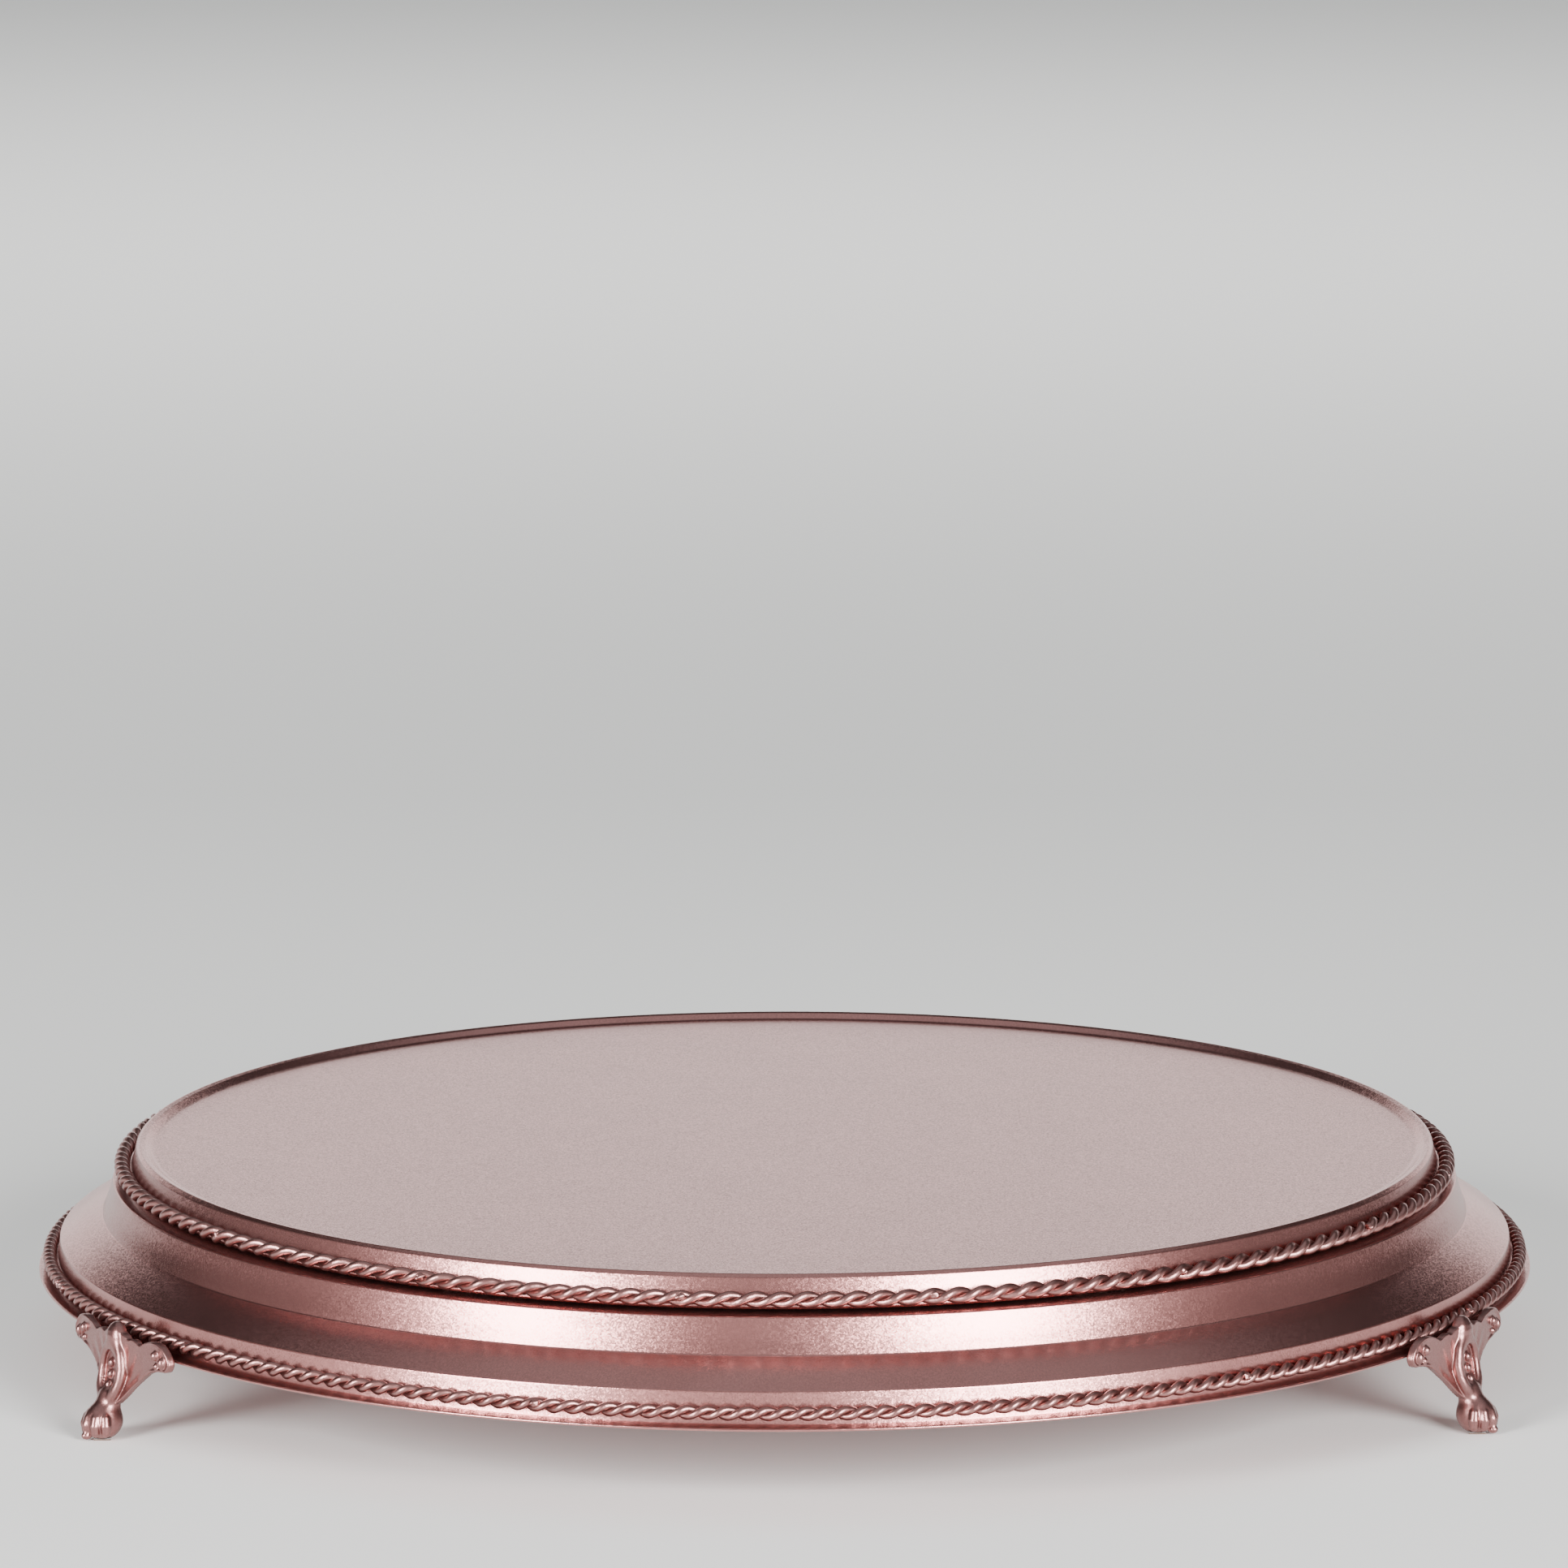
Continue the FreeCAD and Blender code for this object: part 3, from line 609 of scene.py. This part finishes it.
def zinc_plated_steel():
    """Bright zinc plate on rolled steel: pale blue-grey, with cloudy passivation and faint rolling lines."""
    material, tree = blank_material("zinc_plated_steel")
    place = add(tree, "TexCoord").outputs["Object"]
    cloud = add(tree, "TexNoise", {"Vector": place, "Scale": 1 / (7 * MM), "Detail": 4.0})
    tint = add(tree, "ValToRGB", {"Fac": cloud.outputs["Fac"]})
    tint.color_ramp.elements[0].position, tint.color_ramp.elements[1].position = 0.35, 0.68
    tint.color_ramp.elements[0].color = linear("AEB4BA")
    tint.color_ramp.elements[1].color = linear("C9C7BE")
    stretch = add(tree, "Mapping", {"Vector": place, "Scale": (0.06, 1.0, 1.0)})
    lines = add(tree, "TexNoise", {"Vector": stretch.outputs[0], "Scale": 1 / (0.35 * MM), "Detail": 2.0})
    rough = add(tree, "MapRange", {"Value": lines.outputs["Fac"], "To Min": 0.24, "To Max": 0.42})
    bump = add(tree, "Bump", {"Height": lines.outputs["Fac"], "Strength": 0.25, "Distance": 0.02 * MM})
    shader = add(tree, "BsdfPrincipled", {"Base Color": tint.outputs[0], "Metallic": 1.0,
                                          "Roughness": rough.outputs[0], "Normal": bump.outputs[0]})
    add(tree, "OutputMaterial", {"Surface": shader.outputs[0]})
    return material


def hardboard():
    """Wet-pressed hardboard: brown fibre with dark flecks of a millimetre or two, sealed to a dull sheen."""
    material, tree = blank_material("pressed_hardboard")
    place = add(tree, "TexCoord").outputs["Object"]
    fleck = add(tree, "TexNoise", {"Vector": place, "Scale": 1 / (1.4 * MM), "Detail": 5.0, "Roughness": 0.7})
    tint = add(tree, "ValToRGB", {"Fac": fleck.outputs["Fac"]})
    tint.color_ramp.elements[0].position, tint.color_ramp.elements[1].position = 0.34, 0.66
    tint.color_ramp.elements[0].color = linear("4A3020")
    tint.color_ramp.elements[1].color = linear("8B6444")
    weave = add(tree, "TexVoronoi", {"Vector": place, "Scale": 1 / (1.1 * MM)}, feature="DISTANCE_TO_EDGE")
    bump = add(tree, "Bump", {"Height": weave.outputs[0], "Strength": 0.5, "Distance": 0.08 * MM})
    shader = add(tree, "BsdfPrincipled", {"Base Color": tint.outputs[0], "Roughness": 0.62,
                                          "Normal": bump.outputs[0]})
    add(tree, "OutputMaterial", {"Surface": shader.outputs[0]})
    return material


def moulded_acetal():
    """Natural acetal, moulded: slightly translucent off-white with a fine spark-eroded texture."""
    material, tree = blank_material("moulded_acetal")
    place = add(tree, "TexCoord").outputs["Object"]
    grain = add(tree, "TexNoise", {"Vector": place, "Scale": 1 / (0.4 * MM), "Detail": 3.0})
    tint = add(tree, "ValToRGB", {"Fac": grain.outputs["Fac"]})
    tint.color_ramp.elements[0].color = linear("E2DED2")
    tint.color_ramp.elements[1].color = linear("EFECE3")
    rough = add(tree, "MapRange", {"Value": grain.outputs["Fac"], "To Min": 0.34, "To Max": 0.50})
    bump = add(tree, "Bump", {"Height": grain.outputs["Fac"], "Strength": 0.3, "Distance": 0.02 * MM})
    shader = add(tree, "BsdfPrincipled", {"Base Color": tint.outputs[0], "Roughness": rough.outputs[0],
                                          "Normal": bump.outputs[0], "IOR": 1.48, "Subsurface Weight": 0.1,
                                          "Subsurface Radius": (0.002, 0.002, 0.0016)})
    add(tree, "OutputMaterial", {"Surface": shader.outputs[0]})
    return material


def pressed_felt():
    """Pressed wool felt: matted fibres about 0.3 mm across in two browns, with a soft nap."""
    material, tree = blank_material("pressed_wool_felt")
    place = add(tree, "TexCoord").outputs["Object"]
    fibre = add(tree, "TexNoise", {"Vector": place, "Scale": 1 / (0.3 * MM), "Detail": 6.0,
                                   "Distortion": 1.2})
    tint = add(tree, "ValToRGB", {"Fac": fibre.outputs["Fac"]})
    tint.color_ramp.elements[0].position, tint.color_ramp.elements[1].position = 0.35, 0.65
    tint.color_ramp.elements[0].color = linear("3B2E28")
    tint.color_ramp.elements[1].color = linear("6B5448")
    bump = add(tree, "Bump", {"Height": fibre.outputs["Fac"], "Strength": 0.8, "Distance": 0.15 * MM})
    shader = add(tree, "BsdfPrincipled", {"Base Color": tint.outputs[0], "Roughness": 0.95,
                                          "Normal": bump.outputs[0], "Sheen Weight": 0.4})
    add(tree, "OutputMaterial", {"Surface": shader.outputs[0]})
    return material


def studio_floor():
    """Matte white painted board with the faintest roller texture."""
    material, tree = blank_material("matte_white_board")
    place = add(tree, "TexCoord").outputs["Object"]
    nap = add(tree, "TexNoise", {"Vector": place, "Scale": 1 / (3 * MM), "Detail": 2.0})
    bump = add(tree, "Bump", {"Height": nap.outputs["Fac"], "Strength": 0.1, "Distance": 0.05 * MM})
    shader = add(tree, "BsdfPrincipled", {"Base Color": linear("F1F0EE"), "Roughness": 0.9,
                                          "Normal": bump.outputs[0], "Specular IOR Level": 0.1})
    add(tree, "OutputMaterial", {"Surface": shader.outputs[0]})
    return material


# ---------------------------------------------------------------- the object

sheet = rose_gold_lacquer("rose_gold_lacquer_on_spun_steel", 0.27, 0.002, 0.01, "B57C78", "BD8480")
# Painted shade: the wire's lacquer is a darker copy of the sheet's, set darker so that the bright floor the
# ropes reflect doesn't light them pale.
wire = rose_gold_lacquer("rose_gold_lacquer_on_wire_darkened_for_painted_shade", 0.33, 0.0, 0.10, "996C68", "A17470")
# Painted shade: the casting's lacquer is a darker copy of the sheet's, set darker so that the bright floor
# the feet reflect doesn't light them pale.
casting = rose_gold_lacquer("rose_gold_lacquer_on_casting_darkened_for_painted_shade", 0.33, 0.0, 0.15, "916663", "996E6B")

add_piece("plate", plate_skin(), "revolving_top", "top_plate", sheet, 40)
add_piece("shell", shell_skin(), "base", "base_shell", sheet, 40)
add_piece("rim", rim_skin(), "base", "rim_ring", sheet, 40)
add_piece("rope_of_the_plate", rope_skin("upper_rope", 89, UPPER_TACKS, 0.4), "revolving_top",
          "upper_rope", wire)
add_piece("rope_of_the_base", rope_skin("lower_rope", 128, LOWER_TACKS, 1.3), "base",
          "lower_rope", wire)
one_foot = foot_skin()
for foot in ("foot_front_left", "foot_front_right", "foot_back"):
    add_piece(f"cast_{foot}", placed_foot(one_foot, foot), "base", foot, casting)

kept = {
    zinc_plated_steel(): ("pivot_plate", "pivot_plate_screws", "pivot_stud", "plate_washer", "lock_nut",
                          "deck_doubler", "foot_screws", "foot_nuts"),
    hardboard(): ("stiffening_disc",),
    moulded_acetal(): ("pivot_bush", "glide_blocks"),
    pressed_felt(): ("foot_pads",),
}
for material, names in kept.items():
    for name in names:
        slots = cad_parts[name].data.materials
        slots.clear()
        slots.append(material)


# ---------------------------------------------------------------- floor, light and camera

def add_floor():
    """A round floor far wider than the view, at the level the feet stand on."""
    radius, sides = 60.0, 96
    ring = np.arange(sides) * 2 * math.pi / sides
    rim = np.stack([radius * np.cos(ring), radius * np.sin(ring), np.zeros(sides)], axis=-1)
    mesh = bpy.data.meshes.new("floor")
    mesh.from_pydata(rim.tolist(), [], [list(range(sides))])
    mesh.materials.append(studio_floor())
    floor = bpy.data.objects.new("floor", mesh)
    bpy.context.scene.collection.objects.link(floor)


def add_softbox(name, bearing, elevation, distance, width, height, power):
    """A white rectangular softbox facing the object; bearing is from the front, positive to the right."""
    turn, lift = math.radians(bearing), math.radians(elevation)
    towards = np.array([math.sin(turn) * math.cos(lift), -math.cos(turn) * math.cos(lift), math.sin(lift)])
    light = bpy.data.lights.new(name, "AREA")
    light.shape = "RECTANGLE"
    light.size, light.size_y = width, height
    light.energy = power
    lamp = bpy.data.objects.new(name, light)
    lamp.location = towards * distance
    lamp.rotation_euler = (math.pi / 2 - lift, 0, turn)
    bpy.context.scene.collection.objects.link(lamp)


def add_background_light():
    """A wide lamp beyond the object that faces away from it, so that it lights only the floor behind."""
    light = bpy.data.lights.new("background_light", "AREA")
    light.shape = "RECTANGLE"
    light.size, light.size_y = 2.2, 0.8
    light.energy = 330
    lamp = bpy.data.objects.new("background_light", light)
    lamp.location = (0, 3.3, 4.2)
    lamp.rotation_euler = (math.radians(64), 0, 0)
    bpy.context.scene.collection.objects.link(lamp)


def add_room():
    """A studio's surroundings: a bright wall behind, dim walls at the sides and in front, and a soft ceiling.

    They are bands of the direction's backward and upward parts, each with soft edges. The bright wall
    ends 13 to 25 degrees up, the dim ones end 24 to 38 degrees up, and the cool ceiling starts at 41.
    """
    world = bpy.data.worlds.new("studio")
    world.use_nodes = True
    tree = world.node_tree
    tree.nodes.clear()
    way = add(tree, "SeparateXYZ", {0: add(tree, "TexCoord").outputs["Generated"]})
    back, up = way.outputs[1], way.outputs[2]

    behind = add(tree, "MapRange", {"Value": back, "From Min": 0.66, "From Max": 0.90, "To Max": 1.75},
                 interpolation_type="SMOOTHSTEP")
    below_top = add(tree, "MapRange", {"Value": up, "From Min": 0.22, "From Max": 0.42, "To Min": 1.0,
                                       "To Max": 0.0}, interpolation_type="SMOOTHSTEP")
    back_wall = add(tree, "Math", {0: behind.outputs[0], 1: below_top.outputs[0]}, operation="MULTIPLY")
    beside = add(tree, "MapRange", {"Value": back, "From Min": 0.30, "From Max": 0.58, "To Min": 0.20,
                                    "To Max": 0.0}, interpolation_type="SMOOTHSTEP")
    side_top = add(tree, "MapRange", {"Value": up, "From Min": 0.40, "From Max": 0.62, "To Min": 1.0,
                                      "To Max": 0.0}, interpolation_type="SMOOTHSTEP")
    side_walls = add(tree, "Math", {0: beside.outputs[0], 1: side_top.outputs[0]}, operation="MULTIPLY")
    walls = add(tree, "Math", {0: back_wall.outputs[0], 1: side_walls.outputs[0]}, operation="ADD")
    walls = add(tree, "Math", {0: walls.outputs[0], 1: 0.04}, operation="ADD").outputs[0]
    ceiling = add(tree, "MapRange", {"Value": up, "From Min": 0.66, "From Max": 0.92, "To Max": 0.62},
                  interpolation_type="SMOOTHSTEP").outputs[0]
    wall_light = add(tree, "Background", {"Color": linear("FFF7F5"), "Strength": walls})
    ceiling_light = add(tree, "Background", {"Color": linear("EFFCFF"), "Strength": ceiling})
    light = add(tree, "AddShader", {0: wall_light.outputs[0], 1: ceiling_light.outputs[0]})
    add(tree, "OutputWorld", {"Surface": light.outputs[0]})
    bpy.context.scene.world = world


def add_camera():
    """A long lens in front of the object, looking down at it, with the small roll of a hand-set tripod."""
    place = (0.0, -2.7005, 0.6356)
    looking_down, roll = math.radians(9.063), math.radians(-0.08)
    lens = bpy.data.cameras.new("camera")
    lens.lens = 174.0
    lens.sensor_width = 36.0
    lens.clip_end = 200.0
    camera = bpy.data.objects.new("camera", lens)
    camera.matrix_world = (Matrix.Translation(place) @
                           Matrix.Rotation(math.pi / 2 - looking_down, 4, "X") @
                           Matrix.Rotation(roll, 4, "Z"))
    bpy.context.scene.collection.objects.link(camera)
    bpy.context.scene.camera = camera


add_floor()
add_room()
add_softbox("left_softbox", -43, 15, 5.0, 1.6, 2.6, 560)
add_softbox("right_softbox", 33, 14, 5.0, 2.1, 2.6, 720)
add_background_light()
add_camera()
